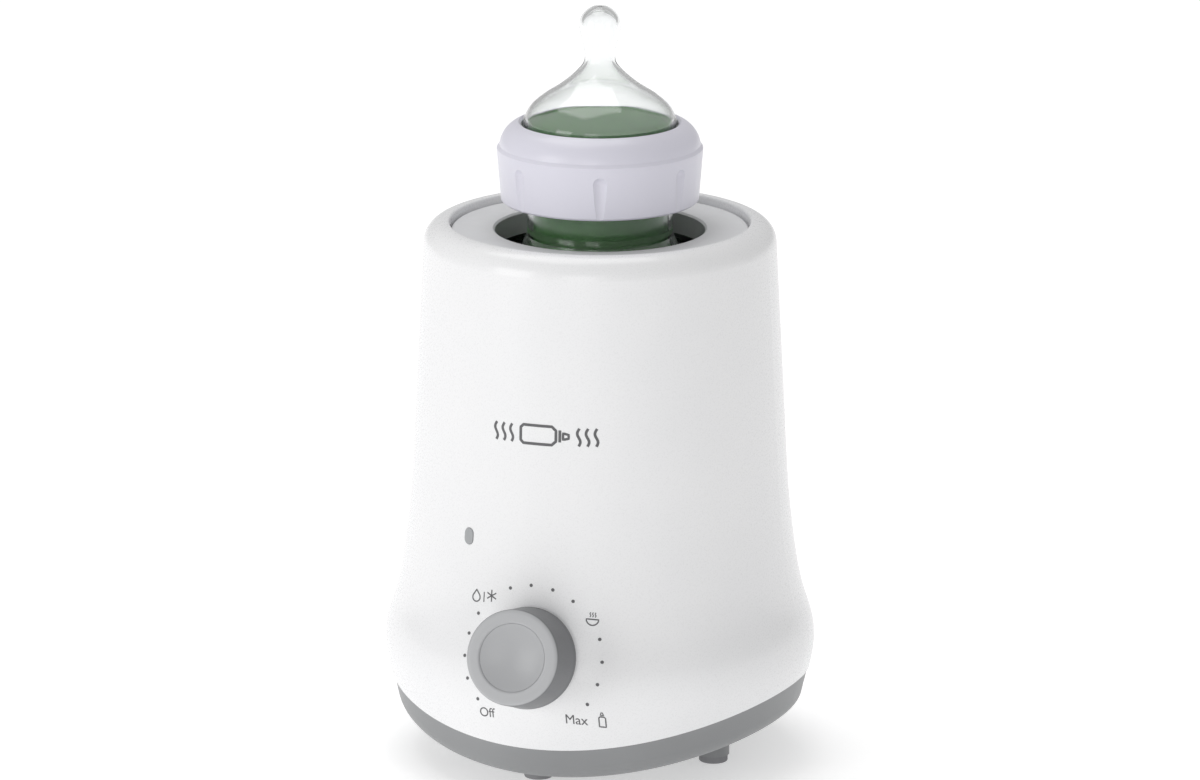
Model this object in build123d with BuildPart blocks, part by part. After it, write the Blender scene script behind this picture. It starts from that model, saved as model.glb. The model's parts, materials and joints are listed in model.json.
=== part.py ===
"""Bottle warmer with a rotary heat control, a water chamber and a baby bottle standing in it.

Millimetres, +Z up. The origin is on the surface that the feet rest on, under the axis of the
round body. The control knob is at the front, which faces -Y.
"""

from build123d import *
from math import cos, radians, sin, tan
import os

os.makedirs("parts", exist_ok=True)

# ---------------------------------------------------------------- driving dimensions
# Round body, from the rim down
rim_height = 176.4
rim_radius = 48.6
rim_wall = 2.2
rim_round = 0.8
shoulder_radius = 56.8
shoulder_round = 7.2
wall = 2.6
waist_radius, waist_height = 60.9, 97.0
flare_high, flare_low = (63.3, 71.0), (67.3, 51.0)
belly_radius, belly_height = 70.2, 37.7
under_belly = (69.2, 30.0)
lower_radius, lower_height = 66.8, 20.0
tuck_radius, tuck_height = 63.4, 6.0

# Seam between the body and the base: low at the front and the back, higher at both sides
seam_low = 17.0
seam_rise = 15.86
seam_half_span = 80.0
base_depth = 11.0
base_inset = 0.4
base_wall = 2.2
base_round = 6.5
tongue_height = 3.0
tongue_wall = 1.5

# Feet
foot_circle = 42.0
foot_turn = -9.0
foot_count = 4
foot_radius = 5.2
pad_radius = 4.7
pad_height = 2.4
pad_stem_radius = 1.7

# Top opening and water chamber
ring_drop = 2.5
ring_thick = 2.2
ring_radius = 48.0
hole_radius = 34.0
lip_wall = 1.5
lip_depth = 5.2
ledge_radius = 45.0
ledge_thick = 2.2
chamber_radius = 36.0
chamber_wall = 1.0
chamber_floor = 68.0
chamber_floor_thick = 1.2
chamber_corner = 6.0
flange_radius = 44.0
flange_thick = 1.0
seal_thick = 1.6
sleeve_radius = 38.5
sleeve_wall = 1.6
sleeve_bottom = 73.0
ear_circle = 47.8
ear_count = 3
ear_height = 157.7
ear_thick = 2.0
ear_radius = 4.2
ear_turn = 30
boss_radius = 3.0

# Screws, in three sizes
m3_shank, m3_pilot, m3_clear = 1.45, 1.5, 1.8
m3_head, m3_head_height = 2.7, 2.0
sleeve_screw, clamp_screw, clip_screw, base_screw, board_screw = 9.0, 4.2, 3.8, 18.0, 7.0

# Heater under the chamber
plate_radius, plate_thick = 27.0, 4.0
element_length, element_width, element_thick = 38.0, 24.0, 5.0
clamp_sheet, clamp_half_width = 1.2, 7.0
clamp_screw_x = 24.0
probe_radius, probe_length, probe_y = 2.0, 16.0, 17.5
clip_sheet, clip_width, clip_screw_y = 0.8, 6.0, 23.7

# Rotary heat control
knob_height = 48.1
knob_seat_radius = 68.8
knob_tilt = 16.0
knob_radius, knob_front_radius, knob_depth = 16.5, 15.3, 16.9
knob_gap = 0.7
knob_dish_radius, knob_dish_depth = 10.2, 3.0
knob_wall = 1.9
hub_radius = 5.6
shaft_radius = 3.0
shaft_fit = 0.05
seat_radius, seat_proud, seat_back = 15.2, 0.2, 4.5
bush_radius = 4.4
nut_across, nut_thick = 10.0, 2.0
control_side, control_depth = 17.0, 9.0
rotor_radius, rotor_thick = 6.6, 1.2

# Indicator window
lamp_height, lamp_turn, lamp_seat_radius, lamp_tilt = 83.1, -23.3, 61.95, 0.085
lens_width, lens_height, lens_proud = 3.6, 5.4, 0.25
lens_back, lens_rim, lens_fit = -4.4, 1.2, 0.1
lamp_back, lamp_cell_x, lamp_cell_y = -9.4, 10.0, 13.0

# Control board on the base
board_x, board_y, board_thick = 56.0, 44.0, 1.6
board_centre_y, board_height = 8.0, 22.0
board_hole_x, board_hole_y = 24.0, 18.0

# Cord gland at the back
gland_height, gland_bore, gland_barrel, gland_flange = 30.0, 3.2, 5.0, 7.0
gland_seat_radius = 70.2
gland_clear_bore, gland_nose = 3.6, 7.0

# Bottle, collar and teat
bottle_radius, bottle_wall = 29.6, 1.8
bottle_shoulder, bottle_waist_radius, bottle_waist = 160.0, 23.6, 174.0
neck_radius, neck_bottom, neck_top = 26.8, 185.5, 206.0
collar_skirt_radius, collar_bottom = 32.0, 183.2
collar_ridge_radius, collar_ridge = 33.3, 199.6
collar_opening, collar_top = 25.4, 209.0
collar_wall = 2.0
grip_count, grip_radius, grip_depth, grip_turn = 7, 3.0, 0.2, -70.75
teat_wall = 1.2
teat_root_radius, teat_root = 24.7, 210.0
teat_bulb_radius, teat_bulb, teat_top = 6.7, 241.8, 247.0

# ---------------------------------------------------------------- worked-out heights
ring_top = rim_height - ring_drop
ring_bottom = ring_top - ring_thick
ledge_bottom = ring_bottom - ledge_thick
seal_bottom = ring_bottom - seal_thick
flange_bottom = seal_bottom - flange_thick
plate_bottom = chamber_floor - plate_thick
element_bottom = plate_bottom - element_thick
board_top = board_height + board_thick
screw_circle_side = 35.0
boss_bottom = 24.0
column_radius, column_height, column_bore = 4.2, 28.0, 14.0
web_circle, web_length, web_thick, web_bottom, web_height = 57.5, 16.0, 2.4, 28.0, 24.2


def around(circle, turn):
    """A point on a circle; turn is in degrees from the front, towards +X."""
    return circle * sin(radians(turn)), -circle * cos(radians(turn))


def body_edge(inset):
    """The side of the round body from its shoulder to below the base, moved in by inset."""
    slope = (waist_radius - shoulder_radius) / (rim_height - waist_height)
    corner = (waist_radius - slope * (rim_height - inset - waist_height) - inset, rim_height - inset)
    waist = (waist_radius - inset, waist_height)
    belly = (belly_radius - inset, belly_height)
    Line(corner, waist)
    Spline(
        waist,
        (flare_high[0] - inset, flare_high[1]),
        (flare_low[0] - inset, flare_low[1]),
        belly,
        tangents=[(slope, -1), (0, -1)],
    )
    Spline(
        belly,
        (under_belly[0] - inset, under_belly[1]),
        (lower_radius - inset, lower_height),
        (tuck_radius - inset, tuck_height),
        tangents=[(0, -1), (-0.35, -1)],
    )
    Polyline((tuck_radius - inset, tuck_height), (0, tuck_height), (0, rim_height - inset), corner)


def add_body(inset, corner_round, mode=Mode.ADD):
    """A solid of the body's shape, moved in by inset, into the part being built."""
    with BuildSketch(Plane.XZ) as side:
        with BuildLine():
            body_edge(inset)
        make_face()
        top = side.vertices().group_by(Axis.Y)[-1].sort_by(Axis.X)[-1]
        fillet(top, corner_round)
    revolve(side.sketch, axis=Axis.Z, mode=mode)


def seam_face(shift, low):
    """The side view of all that lies between the height low and the seam raised by shift."""
    high = seam_low + seam_rise + shift
    with BuildSketch(Plane.XZ) as face:
        with BuildLine():
            ThreePointArc((-seam_half_span, high), (0, seam_low + shift), (seam_half_span, high))
            Polyline(
                (seam_half_span, high),
                (seam_half_span, low),
                (-seam_half_span, low),
                (-seam_half_span, high),
            )
        make_face()
    return face.sketch


def cut_below_seam(shift):
    extrude(seam_face(shift, -30), amount=100, both=True, mode=Mode.SUBTRACT)


def keep_below_seam(shift):
    extrude(seam_face(shift, -30), amount=100, both=True, mode=Mode.INTERSECT)


def under_height(x):
    """Height of the base's underside at a distance x from the middle."""
    return seam_low - base_depth + seam_rise * (x / seam_half_span) ** 2


def save(piece, name):
    """Name a finished piece and write it."""
    piece.part.label = name
    export_step(piece.part, f"parts/{name}.step")


def turned(outline, plane=Plane.XZ, axis=Axis.Z):
    """A piece turned on a lathe from its half outline of (radius, height) points."""
    with BuildPart() as piece:
        with BuildSketch(plane):
            with BuildLine():
                Polyline(*outline, close=True)
            make_face()
        revolve(axis=axis)
    return piece


def screw(plane, length):
    """A pan-head screw with its head below the plane and its shank above it."""
    with BuildSketch(plane) as head:
        Circle(m3_head)
    extrude(head.sketch, amount=-m3_head_height)
    with BuildSketch(plane) as shank:
        Circle(m3_shank)
    extrude(shank.sketch, amount=length)


# Planes of the three places where something goes through the wall
knob_seat = (0, -knob_seat_radius, knob_height)
knob_out = (0, -cos(radians(knob_tilt)), sin(radians(knob_tilt)))
knob_plane = Plane(origin=knob_seat, x_dir=(1, 0, 0), z_dir=knob_out)
knob_side = Plane(origin=knob_seat, x_dir=(1, 0, 0), z_dir=Vector(1, 0, 0).cross(Vector(knob_out)))
knob_axis = Axis(knob_seat, knob_out)
lamp_x, lamp_y = around(lamp_seat_radius, lamp_turn)
lamp_side = (cos(radians(lamp_turn)), sin(radians(lamp_turn)), 0)
lamp_out = (sin(radians(lamp_turn)), -cos(radians(lamp_turn)), lamp_tilt)
lamp_plane = Plane(origin=(lamp_x, lamp_y, lamp_height), x_dir=lamp_side, z_dir=lamp_out)
gland_plane = Plane(origin=(0, gland_seat_radius, gland_height), x_dir=(-1, 0, 0), z_dir=(0, 1, 0))
corner_span = (-screw_circle_side, screw_circle_side)
corner_places = [(x, y) for x in corner_span for y in corner_span]

# ---------------------------------------------------------------- outer housing
with BuildPart() as outer_housing:
    add_body(0, shoulder_round)
    add_body(wall, shoulder_round - wall, mode=Mode.SUBTRACT)
    with BuildSketch(Plane.XY.offset(ledge_bottom)):
        Circle(rim_radius + rim_wall)
    extrude(amount=rim_height - ledge_bottom - 1.5)
    with BuildSketch(Plane.XY.offset(ring_bottom)):
        Circle(rim_radius)
    extrude(amount=20, mode=Mode.SUBTRACT)
    with BuildSketch(Plane.XY.offset(ledge_bottom - 1)):
        Circle(ledge_radius)
    extrude(amount=20, mode=Mode.SUBTRACT)
    rim_edges = outer_housing.edges().filter_by(GeomType.CIRCLE).group_by(Axis.Z)[-1]
    fillet(rim_edges.sort_by(SortBy.RADIUS)[0], rim_round)
    # bosses that the chamber sleeve is screwed to
    with BuildSketch(Plane.XY.offset(ear_height + ear_thick)):
        with PolarLocations(ear_circle, ear_count, start_angle=ear_turn):
            Circle(boss_radius)
    extrude(amount=ledge_bottom - ear_height - ear_thick + 0.5)
    # columns that take the base screws, each with a web to the wall
    with BuildSketch(Plane.XY.offset(boss_bottom + 0.2)):
        with Locations(*corner_places):
            Circle(column_radius)
    extrude(amount=column_height)
    with BuildSketch(Plane.XY.offset(web_bottom)):
        with PolarLocations(web_circle, len(corner_places), start_angle=45):
            Rectangle(web_length, web_thick)
    extrude(amount=web_height)
    # round seat for the knob
    with BuildSketch(knob_plane.offset(-seat_back)):
        Circle(seat_radius)
    extrude(amount=seat_back + seat_proud)
    with BuildSketch(knob_plane.offset(-12)):
        Circle(bush_radius + 0.15)
    extrude(amount=16, mode=Mode.SUBTRACT)
    with BuildSketch(lamp_plane.offset(-8)):
        SlotOverall(lens_height + 2 * lens_fit, lens_width + 2 * lens_fit, rotation=90)
    extrude(amount=12, mode=Mode.SUBTRACT)
    with BuildSketch(gland_plane.offset(-5)):
        Circle(gland_flange + 0.8)
    extrude(amount=5)
    with BuildSketch(gland_plane.offset(-12)):
        Circle(gland_barrel + 0.1)
    extrude(amount=16, mode=Mode.SUBTRACT)
    with BuildSketch(Plane.XY.offset(ear_height)):
        with PolarLocations(ear_circle, ear_count, start_angle=ear_turn):
            Circle(m3_pilot)
    extrude(amount=10, mode=Mode.SUBTRACT)
    with BuildSketch(Plane.XY.offset(boss_bottom)):
        with Locations(*corner_places):
            Circle(m3_pilot)
    extrude(amount=column_bore, mode=Mode.SUBTRACT)
    cut_below_seam(0)
save(outer_housing, "outer_housing")

# ---------------------------------------------------------------- top ring and water chamber
top_ring = turned(
    [
        (hole_radius, ring_top - 0.6),
        (hole_radius + 0.6, ring_top),
        (ring_radius - 0.5, ring_top),
        (ring_radius, ring_top - 0.5),
        (ring_radius, ring_bottom),
        (hole_radius + lip_wall, ring_bottom),
        (hole_radius + lip_wall, ring_bottom - lip_depth),
        (hole_radius, ring_bottom - lip_depth),
    ]
)
save(top_ring, "top_ring")

chamber_seal = turned(
    [
        (chamber_radius + 0.3, seal_bottom),
        (flange_radius - 0.2, seal_bottom),
        (flange_radius - 0.2, ring_bottom),
        (chamber_radius + 0.3, ring_bottom),
    ]
)
save(chamber_seal, "chamber_seal")

with BuildPart() as heating_chamber:
    with BuildSketch(Plane.XZ):
        with BuildLine():
            Polyline(
                (0, chamber_floor),
                (chamber_radius + chamber_wall, chamber_floor),
                (chamber_radius + chamber_wall, flange_bottom),
                (flange_radius, flange_bottom),
                (flange_radius, seal_bottom),
                (chamber_radius, seal_bottom),
                (chamber_radius, chamber_floor + chamber_floor_thick),
                (0, chamber_floor + chamber_floor_thick),
                close=True,
            )
        make_face()
        reach = (chamber_radius - 0.1, chamber_radius + chamber_wall + 0.1)
        corners = vertices().filter_by_position(Axis.X, *reach)
        inner_corner = corners.sort_by(Axis.X)[0:2].sort_by(Axis.Y)[0]
        outer_corner = corners.sort_by(Axis.X)[2:4].sort_by(Axis.Y)[0]
        fillet(inner_corner, chamber_corner - chamber_wall)
        fillet(outer_corner, chamber_corner)
    revolve(axis=Axis.Z)
save(heating_chamber, "heating_chamber")

with BuildPart() as chamber_sleeve:
    with BuildSketch(Plane.XY.offset(sleeve_bottom)):
        Circle(sleeve_radius + sleeve_wall)
        Circle(sleeve_radius, mode=Mode.SUBTRACT)
    extrude(amount=flange_bottom - sleeve_bottom)
    with BuildSketch(Plane.XY.offset(flange_bottom - ear_thick)):
        Circle(flange_radius - 0.2)
        Circle(sleeve_radius, mode=Mode.SUBTRACT)
    extrude(amount=ear_thick)
    with BuildSketch(Plane.XY.offset(ear_height)):
        with PolarLocations(ear_circle, ear_count, start_angle=ear_turn):
            Circle(ear_radius)
        with PolarLocations((ear_circle + sleeve_radius) / 2, ear_count, start_angle=ear_turn):
            Rectangle(ear_circle - sleeve_radius, 2 * ear_radius)
        Circle(sleeve_radius, mode=Mode.SUBTRACT)
    extrude(amount=ear_thick)
    with BuildSketch(Plane.XY.offset(ear_height)):
        with PolarLocations(ear_circle, ear_count, start_angle=ear_turn):
            Circle(m3_clear)
    extrude(amount=ear_thick, mode=Mode.SUBTRACT)
save(chamber_sleeve, "chamber_sleeve")

with BuildPart() as sleeve_screws:
    for turn in range(ear_count):
        place = Vector(ear_circle, 0, 0).rotate(Axis.Z, ear_turn + turn * 360 / ear_count)
        screw(Plane(origin=(place.X, place.Y, ear_height)), sleeve_screw)
save(sleeve_screws, "sleeve_screws")

# ---------------------------------------------------------------- heater under the chamber
with BuildPart() as heater_plate:
    with BuildSketch(Plane.XY.offset(plate_bottom)):
        Circle(plate_radius)
    extrude(amount=plate_thick)
    with BuildSketch(Plane.XY.offset(plate_bottom)):
        with Locations((-clamp_screw_x, 0), (clamp_screw_x, 0), (0, -clip_screw_y), (0, clip_screw_y)):
            Circle(m3_pilot)
    extrude(amount=plate_thick - 0.6, mode=Mode.SUBTRACT)
save(heater_plate, "heater_plate")

with BuildPart() as ptc_heater:
    with BuildSketch(Plane.XY.offset(element_bottom)):
        RectangleRounded(element_length, element_width, 1.5)
    extrude(amount=element_thick)
save(ptc_heater, "ptc_heater")

with BuildPart() as heater_clamp:
    leg = element_length / 2 + 1.5
    foot_end = clamp_screw_x + 2.8
    with BuildSketch(Plane.XZ):
        with BuildLine():
            strap = Polyline(
                (-foot_end, plate_bottom - clamp_sheet / 2),
                (-leg, plate_bottom - clamp_sheet / 2),
                (-leg, element_bottom - clamp_sheet / 2),
                (leg, element_bottom - clamp_sheet / 2),
                (leg, plate_bottom - clamp_sheet / 2),
                (foot_end, plate_bottom - clamp_sheet / 2),
            )
            offset(strap, amount=clamp_sheet / 2, kind=Kind.INTERSECTION)
        make_face()
    extrude(amount=clamp_half_width, both=True)
    with BuildSketch(Plane.XY.offset(element_bottom - 5)):
        with Locations((-clamp_screw_x, 0), (clamp_screw_x, 0)):
            Circle(m3_clear)
    extrude(amount=12, mode=Mode.SUBTRACT)
save(heater_clamp, "heater_clamp")

with BuildPart() as heater_clamp_screws:
    for side in (-1, 1):
        screw(Plane(origin=(side * clamp_screw_x, 0, plate_bottom - clamp_sheet)), clamp_screw)
save(heater_clamp_screws, "heater_clamp_screws")

with BuildPart() as temperature_sensor:
    with BuildSketch(Plane.YZ.offset(-probe_length / 2)):
        with Locations((probe_y, plate_bottom - probe_radius)):
            Circle(probe_radius)
    extrude(amount=probe_length)
save(temperature_sensor, "temperature_sensor")

with BuildPart() as thermal_cutoff:
    with BuildSketch(Plane.YZ.offset(-probe_length / 2)):
        with Locations((-probe_y, plate_bottom - probe_radius)):
            Circle(probe_radius)
    extrude(amount=probe_length)
    chamfer(thermal_cutoff.edges().filter_by(GeomType.CIRCLE), 0.6)
save(thermal_cutoff, "thermal_cutoff")

for clip_name, side in (("sensor_clip", 1), ("cutoff_clip", -1)):
    low = plate_bottom - 2 * probe_radius
    with BuildPart() as probe_clip:
        with BuildSketch(Plane.YZ):
            with BuildLine():
                strap = Polyline(
                    (side * (clip_screw_y + 2.8), plate_bottom - clip_sheet / 2),
                    (side * (probe_y + 2.8), plate_bottom - clip_sheet / 2),
                    (side * (probe_y + 2.8), low - clip_sheet / 2),
                    (side * (probe_y - 2.4), low - clip_sheet / 2),
                )
                offset(strap, amount=clip_sheet / 2, kind=Kind.INTERSECTION)
            make_face()
        extrude(amount=clip_width / 2, both=True)
        with BuildSketch(Plane.XY.offset(low - 2)):
            with Locations((0, side * clip_screw_y)):
                Circle(m3_clear)
        extrude(amount=8, mode=Mode.SUBTRACT)
    save(probe_clip, clip_name)

with BuildPart() as clip_screws:
    for side in (-1, 1):
        screw(Plane(origin=(0, side * clip_screw_y, plate_bottom - clip_sheet)), clip_screw)
save(clip_screws, "clip_screws")

# ---------------------------------------------------------------- rotary heat control
# Outlines here are (radius, distance out of the seat) along the tilted knob axis.
shaft_bore = shaft_radius + shaft_fit
hub_floor, knob_face = 3.4, knob_depth - knob_dish_depth
inside_top = knob_depth - 5.2
control_knob = turned(
    [
        (shaft_bore, hub_floor),
        (hub_radius, hub_floor),
        (hub_radius, inside_top),
        (knob_radius - knob_wall - 0.8, inside_top),
        (knob_radius - knob_wall, knob_gap),
        (knob_radius, knob_gap),
        (knob_radius - 0.35, knob_gap + 2.2),
        (knob_front_radius, knob_depth - 1.2),
        (knob_front_radius - 1.2, knob_depth),
        (knob_dish_radius + 0.9, knob_depth),
        (knob_dish_radius, knob_face),
        (shaft_bore, knob_face),
    ],
    knob_side,
    knob_axis,
)
save(control_knob, "control_knob")

cap_rim = (knob_dish_radius + 0.5, knob_depth - 0.6)
with BuildPart() as knob_cap:
    with BuildSketch(knob_side):
        with BuildLine():
            Polyline(
                (0, knob_face + 0.3),
                (0, knob_face + 0.02),
                (knob_dish_radius - 0.1, knob_face + 0.02),
                cap_rim,
            )
            TangentArc((0, knob_face + 0.3), cap_rim, tangent=(1, 0))
        make_face()
    revolve(axis=knob_axis)
save(knob_cap, "knob_cap")

with BuildPart() as control_shaft:
    with BuildSketch(knob_plane.offset(-control_depth - 3.2)):
        Circle(shaft_radius)
    extrude(amount=control_depth + 3.2 + knob_face - 0.3)
    with BuildSketch(knob_plane.offset(5)):
        with Locations((0, shaft_radius)):
            Rectangle(8, 1.6)
    extrude(amount=knob_face, mode=Mode.SUBTRACT)
save(control_shaft, "control_shaft")

control_front = -4.6
control_back = control_front - control_depth
rotor_back = control_front - 5.4
with BuildPart() as control_body:
    with BuildSketch(knob_plane.offset(control_back + 1.2)):
        RectangleRounded(control_side, control_side, 2.0)
    extrude(amount=control_depth - 1.2)
    with BuildSketch(knob_plane.offset(control_back)):
        Circle(rotor_radius + 0.5)
    extrude(amount=control_depth - 2.6, mode=Mode.SUBTRACT)
    with BuildSketch(knob_plane.offset(control_back)):
        Circle(shaft_bore)
    extrude(amount=control_depth, mode=Mode.SUBTRACT)
save(control_body, "control_body")

with BuildPart() as control_cover:
    with BuildSketch(knob_plane.offset(control_back)):
        RectangleRounded(control_side, control_side, 2.0)
    extrude(amount=1.2)
save(control_cover, "control_cover")

with BuildPart() as wiper_rotor:
    with BuildSketch(knob_plane.offset(rotor_back)):
        Circle(rotor_radius)
        Circle(shaft_radius, mode=Mode.SUBTRACT)
    extrude(amount=rotor_thick)
save(wiper_rotor, "wiper_rotor")

with BuildPart() as control_bush:
    with BuildSketch(knob_plane.offset(control_front)):
        Circle(bush_radius)
        Circle(shaft_bore, mode=Mode.SUBTRACT)
    extrude(amount=2.9 - control_front)
save(control_bush, "control_bush")

with BuildPart() as control_washer:
    with BuildSketch(knob_plane.offset(0.2)):
        Circle(7.0)
        Circle(bush_radius + 0.1, mode=Mode.SUBTRACT)
    extrude(amount=0.6)
save(control_washer, "control_washer")

with BuildPart() as control_nut:
    with BuildSketch(knob_plane.offset(0.8)):
        RegularPolygon(nut_across / 2, 6, major_radius=False)
        Circle(bush_radius, mode=Mode.SUBTRACT)
    extrude(amount=nut_thick)
save(control_nut, "control_nut")

terminal_pitch = 5.0
with BuildPart() as control_terminals:
    with BuildSketch(knob_plane.offset(control_front - 4.5)):
        with Locations((0, -control_side / 2 - 2.4)):
            with GridLocations(terminal_pitch, 1, 3, 1):
                Rectangle(1.6, 4.8)
    extrude(amount=0.6)
save(control_terminals, "control_terminals")

# ---------------------------------------------------------------- indicator
with BuildPart() as indicator_lens:
    with BuildSketch(lamp_plane.offset(lens_back)):
        SlotOverall(lens_height, lens_width, rotation=90)
    extrude(amount=lens_proud - lens_back)
    with BuildSketch(lamp_plane.offset(lens_back)):
        SlotOverall(lens_height + 2 * lens_rim, lens_width + 2 * lens_rim, rotation=90)
    extrude(amount=lens_rim)
    fillet(indicator_lens.faces().sort_by(Axis(lamp_plane.origin, lamp_out))[-1].edges(), 0.2)
save(indicator_lens, "indicator_lens")

with BuildPart() as indicator_lamp:
    with BuildSketch(lamp_plane.offset(lamp_back)):
        Circle(1.9)
    extrude(amount=0.8)
    with BuildSketch(lamp_plane.offset(lamp_back + 0.8)):
        Circle(1.5)
    extrude(amount=3.8)
    fillet(indicator_lamp.faces().sort_by(Axis(lamp_plane.origin, lamp_out))[-1].edges(), 1.3)
save(indicator_lamp, "indicator_lamp")

with BuildPart() as lamp_board:
    with BuildSketch(lamp_plane.offset(lamp_back - 1.2)):
        RectangleRounded(lamp_cell_x, lamp_cell_y, 0.8)
    extrude(amount=1.2)
save(lamp_board, "lamp_board")

with BuildPart() as lamp_holder:
    with BuildSketch(lamp_plane.offset(lamp_back)):
        RectangleRounded(lamp_cell_x, lamp_cell_y, 0.8)
    extrude(amount=lens_back - lamp_back)
    with BuildSketch(lamp_plane.offset(lamp_back)):
        RectangleRounded(6.6, 9.0, 0.8)
    extrude(amount=lens_back - lamp_back, mode=Mode.SUBTRACT)
save(lamp_holder, "lamp_holder")

# ---------------------------------------------------------------- base
post_places = [around(foot_circle, foot_turn + k * 360 / foot_count) for k in range(foot_count)]
post_top = 12.0
tower_radius, tower_bore, head_seat = 4.8, 3.3, 16.0
board_rows = (board_centre_y - board_hole_y, board_centre_y + board_hole_y)
board_posts = [(x, y) for x in (-board_hole_x, board_hole_x) for y in board_rows]
board_post_radius = 3.2

with BuildPart() as base_hollow:
    add_body(base_inset + base_wall, shoulder_round)
    keep_below_seam(1)
    extrude(seam_face(base_wall - base_depth, -30), amount=100, both=True, mode=Mode.SUBTRACT)
    fillet(base_hollow.faces().sort_by(Axis.Z)[0].edges(), base_round - base_wall)

with BuildPart() as base_tongue:
    add_body(wall + 0.1, shoulder_round - wall)
    keep_below_seam(tongue_height)
    add_body(wall + 0.1 + tongue_wall, shoulder_round - wall - tongue_wall, mode=Mode.SUBTRACT)
    cut_below_seam(-3)

with BuildPart() as tongue_root:
    add_body(base_inset + 0.6, shoulder_round)
    keep_below_seam(0)
    add_body(wall + 0.1 + tongue_wall, shoulder_round - wall - tongue_wall, mode=Mode.SUBTRACT)
    cut_below_seam(-3)

with BuildPart() as base_shell:
    add_body(base_inset, shoulder_round)
    keep_below_seam(0)
    extrude(seam_face(-base_depth, -30), amount=100, both=True, mode=Mode.SUBTRACT)
    fillet(base_shell.faces().sort_by(Axis.Z)[0].edges(), base_round)
    add(base_hollow.part, mode=Mode.SUBTRACT)
    add(tongue_root.part)
    add(base_tongue.part)
    with BuildSketch(Plane.XY.offset(pad_height)):
        with Locations(*post_places):
            Circle(foot_radius)
    extrude(amount=post_top - pad_height)
    with BuildSketch(Plane.XY.offset(under_height(screw_circle_side) + 0.4)):
        with Locations(*corner_places):
            Circle(tower_radius)
    extrude(amount=boss_bottom - under_height(screw_circle_side) - 0.4)
    with BuildSketch(Plane.XY.offset(under_height(board_hole_x) + 0.4)):
        with Locations(*board_posts):
            Circle(board_post_radius)
    extrude(amount=board_height - under_height(board_hole_x) - 0.4)
    with BuildSketch(Plane.XY):
        with Locations(*corner_places):
            Circle(tower_bore)
    extrude(amount=head_seat, mode=Mode.SUBTRACT)
    with BuildSketch(Plane.XY):
        with Locations(*corner_places):
            Circle(m3_clear)
    extrude(amount=boss_bottom + 1, mode=Mode.SUBTRACT)
    with BuildSketch(Plane.XY.offset(board_height - 7)):
        with Locations(*board_posts):
            Circle(m3_pilot)
    extrude(amount=8, mode=Mode.SUBTRACT)
    with BuildSketch(Plane.XY):
        with Locations(*post_places):
            Circle(pad_stem_radius + 0.05)
    extrude(amount=pad_height + 3.4, mode=Mode.SUBTRACT)
save(base_shell, "base_shell")

for pad_name, place in zip(("front", "right", "back", "left"), post_places):
    with BuildPart() as foot_pad:
        with BuildSketch():
            with Locations(place):
                Circle(pad_radius)
        extrude(amount=pad_height)
        fillet(foot_pad.edges().group_by(Axis.Z)[0], 0.5)
        with BuildSketch(Plane.XY.offset(pad_height)):
            with Locations(place):
                Circle(pad_stem_radius)
        extrude(amount=3)
    save(foot_pad, f"foot_pad_{pad_name}")

with BuildPart() as base_screws:
    for x, y in corner_places:
        screw(Plane(origin=(x, y, head_seat)), base_screw)
save(base_screws, "base_screws")

cord_gland = turned(
    [
        (gland_clear_bore, -7.1),
        (gland_barrel + 1.3, -7.1),
        (gland_barrel + 1.3, -5.4),
        (gland_barrel, -5.4),
        (gland_barrel, 0.1),
        (gland_flange, 0.1),
        (gland_flange - 0.5, 1.4),
        (gland_barrel - 0.1, 1.8),
        (gland_barrel - 0.6, gland_nose),
        (gland_bore, gland_nose),
        (gland_bore, 0.9),
        (gland_clear_bore, 0.5),
    ],
    Plane(origin=gland_plane.origin, x_dir=(1, 0, 0), z_dir=(0, 0, 1)),
    Axis(gland_plane.origin, (0, 1, 0)),
)
save(cord_gland, "cord_gland")

# ---------------------------------------------------------------- control board
with BuildPart() as control_board:
    with BuildSketch(Plane.XY.offset(board_height)):
        with Locations((0, board_centre_y)):
            RectangleRounded(board_x, board_y, 1.5)
        with Locations(*board_posts):
            Circle(m3_clear, mode=Mode.SUBTRACT)
    extrude(amount=board_thick)
save(control_board, "control_board")

with BuildPart() as board_screws:
    for x, y in board_posts:
        screw(Plane(origin=(x, y, board_top), x_dir=(1, 0, 0), z_dir=(0, 0, -1)), board_screw)
save(board_screws, "board_screws")


def block(x, y, length, width, height, rounding):
    """A moulded component that stands on the board at (x, y)."""
    with BuildPart() as piece:
        with BuildSketch(Plane.XY.offset(board_top)):
            with Locations((x, y)):
                Rectangle(length, width)
        extrude(amount=height)
        fillet(piece.edges().filter_by(Axis.Z), rounding)
    return piece


terminal_y, terminal_length = 24.0, 24.0
with BuildPart() as terminal_block:
    with BuildSketch(Plane.XY.offset(board_top)):
        with Locations((0, terminal_y)):
            Rectangle(terminal_length, 9)
    extrude(amount=10)
    with BuildSketch(Plane.XY.offset(board_top + 10)):
        with Locations((0, terminal_y)):
            with GridLocations(6, 1, 4, 1):
                Circle(1.9)
    extrude(amount=-7, mode=Mode.SUBTRACT)
save(terminal_block, "terminal_block")

film_capacitor = block(-17, 9, 8, 15, 13, 1.2)
save(film_capacitor, "film_capacitor")

control_chip = block(-5, 3, 9, 6.5, 3.4, 0.3)
save(control_chip, "control_chip")

sink_x, sink_y = 15.0, 11.0
with BuildPart() as heat_sink:
    with BuildSketch(Plane.XY.offset(board_top)):
        with Locations((sink_x, sink_y)):
            Rectangle(20, 2)
        with Locations((sink_x, sink_y + 3)):
            with GridLocations(4.5, 1, 5, 1):
                Rectangle(1.2, 5)
    extrude(amount=17)
save(heat_sink, "heat_sink")

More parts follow.
